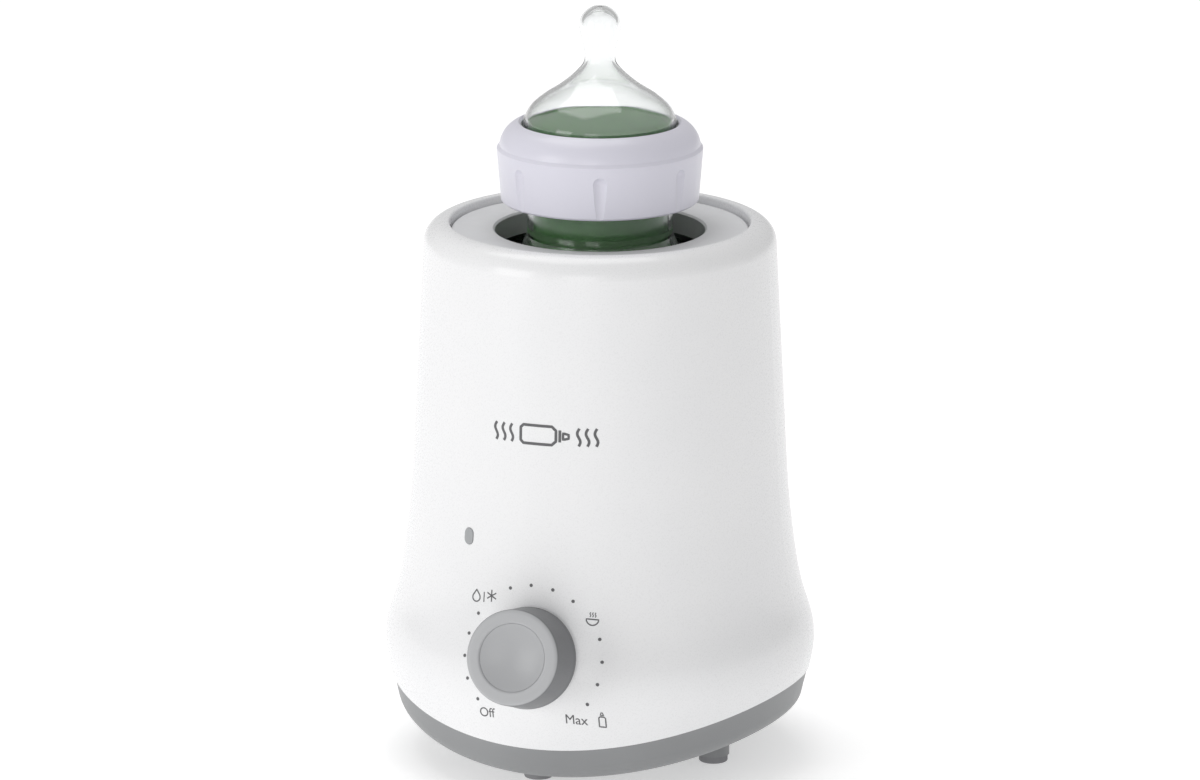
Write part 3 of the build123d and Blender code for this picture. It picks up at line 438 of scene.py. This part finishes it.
# %% Mix the finishes
finishes = {
    "white_shell": plastic(
        "white body plastic", (0.86, 0.86, 0.865), (0.84, 0.842, 0.85),
        (0.26, 0.3), 2200, 0.0015, 0.1, 0.02, 0.25,
    ),
    "light_grey_shell": plastic(
        "light grey plastic", (0.72, 0.725, 0.735), (0.69, 0.695, 0.705),
        (0.4, 0.52), 2600, 0.02, 0.15, 0.05,
    ),
    "grey_shell": plastic(
        "grey base plastic", (0.27, 0.275, 0.28), (0.255, 0.26, 0.265),
        (0.36, 0.5), 2600, 0.02, 0.15, 0.04,
    ),
    # The darker grey here shows on the knob's side as painted shade; the face is made pale further down.
    "grey_knob": plastic(
        "grey knob plastic with painted side shade", (0.17, 0.172, 0.18), (0.155, 0.158, 0.165),
        (0.36, 0.46), 2600, 0.012, 0.25, 0.03,
    ),
    "grey_cap": plastic(
        "grey dish plastic", (0.42, 0.425, 0.435), (0.405, 0.41, 0.42),
        (0.3, 0.38), 2600, 0.006, 0.1, 0.02,
    ),
    "silicone_seal": plastic(
        "seal silicone", (0.7, 0.7, 0.68), (0.66, 0.66, 0.64), (0.5, 0.62), 1800, 0.02
    ),
    "clear_silicone": clear("clear silicone", (0.97, 0.98, 0.98), (0.03, 0.1), 1.41),
    "drawn_aluminium": metal(
        "drawn aluminium", (0.24, 0.24, 0.25), (0.17, 0.17, 0.18), (0.2, 0.36), 1500, 0.01
    ),
    "cast_aluminium": metal(
        "cast aluminium", (0.6, 0.6, 0.61), (0.45, 0.45, 0.46), (0.45, 0.6), 500, 0.05
    ),
    "liner_plastic": plastic(
        "natural liner plastic", (0.68, 0.68, 0.64), (0.63, 0.63, 0.58), (0.45, 0.6), 2000, 0.03
    ),
    "screw_steel": metal(
        "zinc-plated steel", (0.62, 0.62, 0.64), (0.5, 0.5, 0.48), (0.25, 0.4), 3000, 0.01
    ),
    "spring_steel": metal(
        "bare spring steel", (0.58, 0.58, 0.58), (0.42, 0.41, 0.4), (0.25, 0.42), 2400, 0.01
    ),
    "heater_ceramic": plastic(
        "amber heater film", (0.5, 0.19, 0.05), (0.4, 0.13, 0.03), (0.2, 0.35), 900, 0.03, coat=0.3
    ),
    "black_plastic": plastic(
        "black plastic", (0.018, 0.018, 0.02), (0.028, 0.028, 0.03),
        (0.4, 0.55), 2600, 0.02, 0.3, 0.1,
    ),
    "turned_brass": metal(
        "turned brass", (0.72, 0.5, 0.18), (0.5, 0.34, 0.13), (0.22, 0.36), 3000, 0.02
    ),
    "shaft_plastic": plastic(
        "white shaft plastic", (0.75, 0.75, 0.71), (0.71, 0.71, 0.67), (0.4, 0.5), 2200, 0.02
    ),
    "lens_plastic": plastic(
        "indicator window plastic", (0.36, 0.37, 0.38), (0.33, 0.34, 0.35),
        (0.12, 0.2), 1500, 0.003, coat=0.4,
    ),
    "lamp_epoxy": plastic(
        "amber lamp epoxy", (0.75, 0.3, 0.05), (0.68, 0.25, 0.04), (0.1, 0.2), 900, 0.004, coat=0.5
    ),
    "circuit_board": plastic(
        "green board lacquer", (0.02, 0.12, 0.05), (0.015, 0.09, 0.04),
        (0.25, 0.4), 1500, 0.03, coat=0.3,
    ),
    "terminal_plastic": plastic(
        "blue terminal plastic", (0.03, 0.12, 0.36), (0.025, 0.1, 0.3), (0.35, 0.5), 2200, 0.02
    ),
    "capacitor_plastic": plastic(
        "ochre capacitor case", (0.5, 0.35, 0.04), (0.45, 0.3, 0.03), (0.3, 0.42), 2200, 0.02
    ),
    "fuse_glass": clear("fuse glass", (0.95, 0.97, 0.97), (0.02, 0.08), 1.5),
    "red_insulation": plastic(
        "red sleeving", (0.32, 0.02, 0.015), (0.26, 0.015, 0.012), (0.5, 0.7), 3500, 0.04
    ),
    "dark_insulation": plastic(
        "dark lead insulation", (0.03, 0.03, 0.035), (0.045, 0.045, 0.05), (0.45, 0.6), 3000, 0.02
    ),
    "foot_rubber": plastic(
        "grey foot rubber", (0.27, 0.27, 0.28), (0.24, 0.24, 0.25),
        (0.6, 0.75), 1800, 0.03, 0.1, 0.05,
    ),
    "clear_bottle": clear("clear bottle wall", (0.96, 0.98, 0.97), (0.0, 0.05), 1.5),
    "collar_plastic": plastic(
        "lavender white collar plastic", (0.72, 0.71, 0.79), (0.7, 0.69, 0.77),
        (0.28, 0.38), 2200, 0.005, 0.1, 0.02, 0.15, 0.1,
    ),
}
slot_of = {part["node"]: part["material_slot"] for part in record["subparts"]}
for name, part in nodes.items():
    part.data.materials.clear()
    part.data.materials.append(finishes[slot_of[name]])
print(len(finishes), "finishes on", len(nodes), "parts")

# %% [markdown]
# ## The knob
# On the real knob every edge is soft: the front rim rolls over into a flat ring, and the ring
# falls into a shallow dish that a thumb finds. The CAD part has chamfers there. A lathe outline
# with curved corners, turned round the tilted axis of the control, gives the moulded shape.

# %% Turn the knob and its dish
knob_joint = [j for j in frame["joints"] if j["name"] == "knob_turn"][0]
knob_seat = Vector(knob_joint["pos_m"])
knob_out = -Vector(knob_joint["axis"]).normalized()
knob_depth, knob_front, knob_back = 16.87, 15.3, 16.5
dish_radius, dish_floor = 10.8, 14.2

knob_outline = [(13.8, 0.7), (knob_back, 0.7), (16.1, 3.0), (knob_front, knob_depth)]
knob_outline += [(dish_radius + 0.5, knob_depth), (dish_radius + 0.05, 16.35), (dish_radius - 0.3, 15.2)]
knob_shell = lathe(
    "knob_shell",
    softened(knob_outline, 1.5, 8) + [Vector((dish_radius - 0.3, 11.7)), Vector((13.8, 11.7))],
    knob_seat,
    knob_out,
)
dish_arc = []
for k in range(15):
    t = k / 14
    dish_arc.append((dish_radius * t, dish_floor + 2.1 * t * t))
dish_under = 13.95
dish_outline = [(0, dish_under)] + dish_arc + [(dish_radius - 0.5, 15.4), (dish_radius - 0.7, dish_under)]
knob_dish = lathe("knob_dish", dish_outline, knob_seat, knob_out)
knob_pieces = ((knob_shell, "grey_knob", "control_knob"), (knob_dish, "grey_cap", "knob_cap"))
for piece, slot_name, node_name in knob_pieces:
    piece.data.materials.append(finishes[slot_name])
    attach(piece, "knob")
    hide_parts(node_name)
print("knob", round(2 * knob_back, 1), "mm across")

# %% [markdown]
# The knob's side is given a darker tone than its front. It is painted shade, since the lights alone don't
# make the side dark enough. The tone depends on the height along the knob's own axis, so it turns
# with the knob. A second material on some of the faces would need a hard edge, and this blends over
# half a millimetre.

# %% Paint shade on the knob's side and give its face the pale grey
knob_tree = finishes["grey_knob"].node_tree
knob_shader = knob_tree.nodes["Principled BSDF"]
knob_place = knob_tree.nodes.new("ShaderNodeTexCoord")
along_axis = knob_tree.nodes.new("ShaderNodeVectorMath")
along_axis.operation = "DOT_PRODUCT"
along_axis.inputs[1].default_value = knob_out
knob_tree.links.new(knob_place.outputs["Object"], along_axis.inputs[0])
face_start = knob_seat.dot(knob_out) + (knob_depth - 0.9) * MM
on_face = remap(knob_tree, along_axis.outputs["Value"], face_start, face_start + 0.5 * MM)
# The side keeps the darker grey, which is painted shade; the face gets the knob's pale grey.
painted_side_shade = knob_shader.inputs["Base Color"].links[0].from_socket
knob_face_and_painted_shade = mix_colour(knob_tree, on_face, painted_side_shade, (0.44, 0.445, 0.455, 1))
knob_tree.links.new(knob_face_and_painted_shade, knob_shader.inputs["Base Color"])
print("face starts", knob_depth - 0.9, "mm from the seat")

# %% [markdown]
# ## The teat
# The teat is clear silicone, a little over a millimetre thick. Light bends at both of its faces, so
# even a slight kink in the outline would show as a dark ring. Both faces come from one smooth curve.
# Its points were chosen near the CAD part's side, and it leaves that side by up to about
# half a millimetre. The flange under the collar stays flat, as it is clamped.

# %% Turn the teat
def smooth_line(points, steps=6):
    """A curve that passes through all the points, as (radius, height) pairs."""
    ends = [points[0]] + list(points) + [points[-1]]
    line = []
    for a, b, c, d in zip(ends, ends[1:], ends[2:], ends[3:]):
        a, b, c, d = Vector(a), Vector(b), Vector(c), Vector(d)
        for k in range(steps):
            t = k / steps
            bend = (2 * a - 5 * b + 4 * c - d) * t * t + (3 * b - a - 3 * c + d) * t ** 3
            line.append(0.5 * (2 * b + (c - a) * t + bend))
    return line + [Vector(points[-1])]


teat_low, teat_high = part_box("teat")
teat_floor, teat_tip = teat_low.z / MM, teat_high.z / MM
teat_thick, flange_thick, flange_radius, root_radius = 1.2, 1.5, 26.8, 24.7
teat_side = [(root_radius, 210.0), (22.4, 214.0), (17.9, 217.8), (13.0, 220.9), (8.4, 224.7)]
teat_side += [(5.5, 228.0), (4.95, 230.8), (5.4, 234.2), (6.3, 237.5), (6.7, 240.3)]
teat_side += [(6.2, 242.9), (4.75, 245.0), (2.6, 246.45), (0, teat_tip)]
flange_top = teat_floor + flange_thick
outer_face = [Vector((flange_radius, teat_floor)), Vector((flange_radius, flange_top))]
outer_face += [Vector((root_radius, flange_top))]
outer_face += smooth_line(teat_side)
inner_face = []
for before, point, after in zip(outer_face[3:-2], outer_face[4:-1], outer_face[5:]):
    run = (after - before).normalized()
    inner_face.append(point + Vector((-run.y, run.x)) * teat_thick)
inner_face = [p for p in inner_face if p.x > 0.15] + [Vector((0, teat_tip - teat_thick))]
inner_root = [Vector((23.5, teat_floor)), Vector((23.5, 209.4))]
teat_outline = list(reversed(outer_face)) + inner_root + inner_face
teat_skin = lathe("teat_skin", teat_outline, turns=144)
teat_skin.data.materials.append(finishes["clear_silicone"])
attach(teat_skin, "bottle")
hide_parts("teat")
print("teat from", round(teat_floor), "to", round(teat_tip), "mm")

# %% [markdown]
# ## Printing on the body
# The marks on the body are pad-printed: a skin of ink a few hundredths of a millimetre thick that
# follows the curved wall. Each mark is drawn flat, as strokes or dots, and then every point is
# pushed onto the wall along one direction, as the pad does. A decal texture would need an image;
# this way the marks are real geometry.

# %% Helpers for printed marks
wall = BVHTree.FromObject(nodes["outer_housing"], bpy.context.evaluated_depsgraph_get())
INK = plastic("grey printing ink", (0.1, 0.1, 0.105), (0.13, 0.13, 0.135), (0.4, 0.55), 3000, 0.004)


def dot(centre, radius, parts=20):
    """A filled round dot as points and faces, in flat millimetres."""
    angles = [2 * math.pi * k / parts for k in range(parts)]
    rim = [(centre[0] + radius * math.cos(a), centre[1] + radius * math.sin(a)) for a in angles]
    return [centre] + rim, [(0, k + 1, (k + 1) % parts + 1) for k in range(parts)]


def stroke(line, width, closed=False):
    """A ribbon of ink that follows a line, as points and faces, in flat millimetres."""
    points = [Vector(p) for p in line]
    if closed:
        points.append(points[0])
    fine_line = [points[0]]
    for a, b in zip(points, points[1:]):
        steps = max(1, math.ceil((b - a).length / 0.5))
        fine_line += [a.lerp(b, k / steps) for k in range(1, steps + 1)]
    verts, faces = [], []
    last = len(fine_line) - 1
    for k, p in enumerate(fine_line):
        before = fine_line[k - 1] if k > 0 else (fine_line[last - 1] if closed else p)
        after = fine_line[k + 1] if k < last else (fine_line[1] if closed else p)
        along = (after - before).normalized()
        across = Vector((-along.y, along.x)) * width / 2
        verts += [tuple(p + across), tuple(p - across)]
        if k:
            faces.append((2 * k - 2, 2 * k - 1, 2 * k + 1, 2 * k))
    return verts, faces


def circle_line(centre, radius, start=0, end=360, parts=24):
    """Points on an arc, turning counterclockwise, in flat millimetres."""
    angles = [math.radians(start + (end - start) * k / parts) for k in range(parts + 1)]
    return [(centre[0] + radius * math.cos(a), centre[1] + radius * math.sin(a)) for a in angles]


def printed(name, marks, origin, right, up, ink):
    """One printed piece from flat marks, laid on the wall round origin."""
    out = Vector(right).cross(Vector(up)).normalized()
    shape = bmesh.new()
    for verts, faces in marks:
        top, low = [], []
        for x, y in verts:
            start = Vector(origin) + Vector(right) * x * MM + Vector(up) * y * MM + out * 0.03
            spot, normal, _, _ = wall.ray_cast(start, -out)
            top.append(shape.verts.new(spot + normal * 0.06 * MM))
            low.append(shape.verts.new(spot - normal * 0.12 * MM))
        edges = {}
        for face in faces:
            shape.faces.new([top[k] for k in face])
            shape.faces.new([low[k] for k in reversed(face)])
            for a, b in zip(face, face[1:] + face[:1]):
                edges[(a, b)] = True
        for a, b in edges:
            if (b, a) not in edges:
                shape.faces.new([top[b], top[a], low[a], low[b]])
    bmesh.ops.recalc_face_normals(shape, faces=shape.faces)
    mesh = bpy.data.meshes.new(name)
    shape.to_mesh(mesh)
    shape.free()
    piece = bpy.data.objects.new(name, mesh)
    bpy.context.scene.collection.objects.link(piece)
    piece.data.materials.append(ink)
    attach(piece, "warmer")
    return piece


def placed(marks, centre, turn=0.0, scale=1.0):
    """The marks moved to centre, turned clockwise by turn degrees and scaled."""
    c, s = math.cos(math.radians(turn)), math.sin(math.radians(turn))
    moved = []
    for verts, faces in marks:
        spots = [
            (centre[0] + scale * (x * c + y * s), centre[1] + scale * (y * c - x * s)) for x, y in verts
        ]
        moved.append((spots, faces))
    return moved


def word(text, size):
    """A plain word as flat faces, with its middle at the origin."""
    curve = bpy.data.curves.new("lettering", "FONT")
    curve.body, curve.size, curve.align_x, curve.align_y = text, size, "CENTER", "CENTER"
    letters = bpy.data.objects.new("lettering", curve)
    mesh = bpy.data.meshes.new_from_object(letters)
    shape = bmesh.new()
    shape.from_mesh(mesh)
    bmesh.ops.triangulate(shape, faces=shape.faces)
    bmesh.ops.remove_doubles(shape, verts=shape.verts, dist=size * 1e-4)
    shape.verts.index_update()
    spots = [(v.co.x, v.co.y) for v in shape.verts]
    marks = [(spots, [tuple(v.index for v in f.verts) for f in shape.faces])]
    shape.free()
    bpy.data.objects.remove(letters)
    bpy.data.meshes.remove(mesh)
    return marks


print("ink helpers ready")

# %% [markdown]
# ### The dial
# Seventeen places, evenly spaced over about 290 degrees, run clockwise from off to full heat. Most
# are dots. Two plain words and four small pictures take the others: a drop and a thaw star for
# gentle warming, a bowl with steam for food, and a bottle for the hottest setting.

# %% Print the dial
dial_up = Vector((1, 0, 0)).cross(knob_out).normalized() * -1
dial_right = Vector((1, 0, 0))
DIAL_RADIUS = 23.2
DIAL_START, DIAL_STEP = -147.5, 18.1
DOT_RADIUS = 0.55
WORD_SIZE = 4.2


def dial_spot(place, radius=DIAL_RADIUS):
    """The place's spot on the dial, in flat millimetres from the knob's axis."""
    angle = math.radians(DIAL_START + DIAL_STEP * place)
    return radius * math.sin(angle), radius * math.cos(angle)


drop_round = circle_line((0, -0.45), 1.4, 35, -215, 20)
drop = [stroke([(0, 2.0), (1.15, 0.35)] + drop_round + [(-1.15, 0.35)], 0.42, True)]
star = []
for turn in (0, 60, 120):
    a = math.radians(turn + 90)
    tip = (1.9 * math.cos(a), 1.9 * math.sin(a))
    star.append(stroke([(-tip[0], -tip[1]), tip], 0.4))
bowl = [stroke(circle_line((0, 0), 1.9, 180, 360, 18), 0.42, True)]
for x in (-0.8, 0.0, 0.8):
    bowl.append(stroke([(x, 0.7), (x + 0.25, 1.2), (x - 0.1, 1.7), (x + 0.15, 2.2)], 0.3))
small_bottle = [
    stroke([(-1.0, -2.2), (1.0, -2.2), (1.0, 0.6), (0.6, 1.0), (-0.6, 1.0), (-1.0, 0.6)], 0.4, True),
    stroke([(-0.5, 1.5), (-0.2, 2.3), (0.2, 2.3), (0.5, 1.5)], 0.36, True),
]

dial_marks = []
for place in (1, 2, 3, 4, 5, 7, 8, 9, 10, 12, 13, 14, 15):
    dial_marks.append(dot(dial_spot(place), DOT_RADIUS))
dial_marks += placed(drop, (-20.6, 18.2))
dial_marks.append(stroke([(-17.7, 16.4), (-17.7, 19.6)], 0.35))
dial_marks += placed(star, (-14.9, 18.6))
dial_marks += placed(bowl, dial_spot(11.1, 23.8))
dial_marks += placed(word("Off", WORD_SIZE), (-14.9, -18.9))
dial_marks += placed(word("Max", WORD_SIZE), (15.4, -18.4))
dial_marks += placed(small_bottle, (23.4, -17.6))
dial_print = printed("dial_print", dial_marks, knob_seat, dial_right, dial_up, INK)
print("dial print:", len(dial_print.data.polygons), "faces")

# %% [markdown]
# ### The front mark
# A plain picture stands on the front: a bottle on its side between three warm waves on each side.
# It says what the appliance does, and is nobody's sign. Strokes of one width suit pad printing.

# %% Print the front mark
def wave(x):
    """A short upright wave."""
    return stroke([(x + 0.45 * math.sin(k * 0.55), -2.6 + k * 0.42) for k in range(13)], 0.75)


lying_body = [(-6.2, -2.6), (2.2, -2.6), (3.4, -1.5), (3.4, 1.5)]
lying_body += [(2.2, 2.6), (-6.2, 2.6), (-7.0, 1.8), (-7.0, -1.8)]
lying_bottle = [
    stroke(lying_body, 0.8, True),
    stroke([(4.5, -1.7), (4.5, 1.7)], 0.8),
    stroke([(5.4, -0.9), (7.0, -0.55), (7.0, 0.55), (5.4, 0.9)], 0.7, True),
]
front_marks = lying_bottle + [wave(x) for x in (-14.6, -12.2, -9.8, 9.8, 12.2, 14.6)]
front_turn = math.radians(2.0)
front_out = Vector((math.sin(front_turn), -math.cos(front_turn), 0))
front_right = Vector((math.cos(front_turn), math.sin(front_turn), 0))
front_origin = front_out * 0.055 + Vector((0, 0, 0.1194))
FRONT_SCALE = 1.14
front_marks = placed(front_marks, (0, 0), 0, FRONT_SCALE)
front_mark = printed("front_mark", front_marks, front_origin, front_right, (0, 0, 1), INK)
print("front mark:", len(front_mark.data.polygons), "faces")

# %% [markdown]
# ## The drink
# A green drink fills the bottle up into the teat's root. It is one closed body of liquid. Along the
# straight wall it is a tenth of a millimetre smaller than the bottle's inside, so that the two
# surfaces don't flicker. It stands up to 3 mm short of the wall at the foot and under 1 mm short at
# the shoulder, and at the waist it reaches up to 0.2 mm into the wall. Its top is level, with a
# thin raised edge where it wets the wall.

# %% Fill the bottle
drink_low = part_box("baby_bottle")[0].z / MM + 1.9
drink_outline = [
    (0, drink_low), (24.6, drink_low), (27.2, drink_low + 2.6), (27.7, drink_low + 6), (27.7, 155.0),
    (27.0, 160.5), (24.6, 166.0), (22.3, 170.5), (21.7, 175.0), (21.7, 186.5), (24.8, 189.6), (24.9, 205.9),
    (23.4, 206.1), (23.4, 209.2), (23.0, 208.8), (0, 208.7),
]
drink = lathe("drink", drink_outline)
drink_finish = plastic(
    "green drink", (0.085, 0.26, 0.08), (0.13, 0.33, 0.11), (0.12, 0.2), 40, 0.01, coat=0.2, glow=0.3
)
drink.data.materials.append(drink_finish)
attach(drink, "bottle")
print("drink fills to", drink_outline[-1][1], "mm")

# %% [markdown]
# ## Floor finish
# The floor is a pale matt sheet.

# %% Finish the floor
floor_finish = plastic("pale floor sheet", (0.86, 0.86, 0.86), (0.85, 0.85, 0.855), (0.7, 0.85), 300, 0.02)
glow = floor_finish.node_tree.nodes["Principled BSDF"].inputs
glow["Emission Color"].default_value = (1.0, 1.0, 1.0, 1.0)
glow["Emission Strength"].default_value = 0.42
floor.data.materials.append(floor_finish)
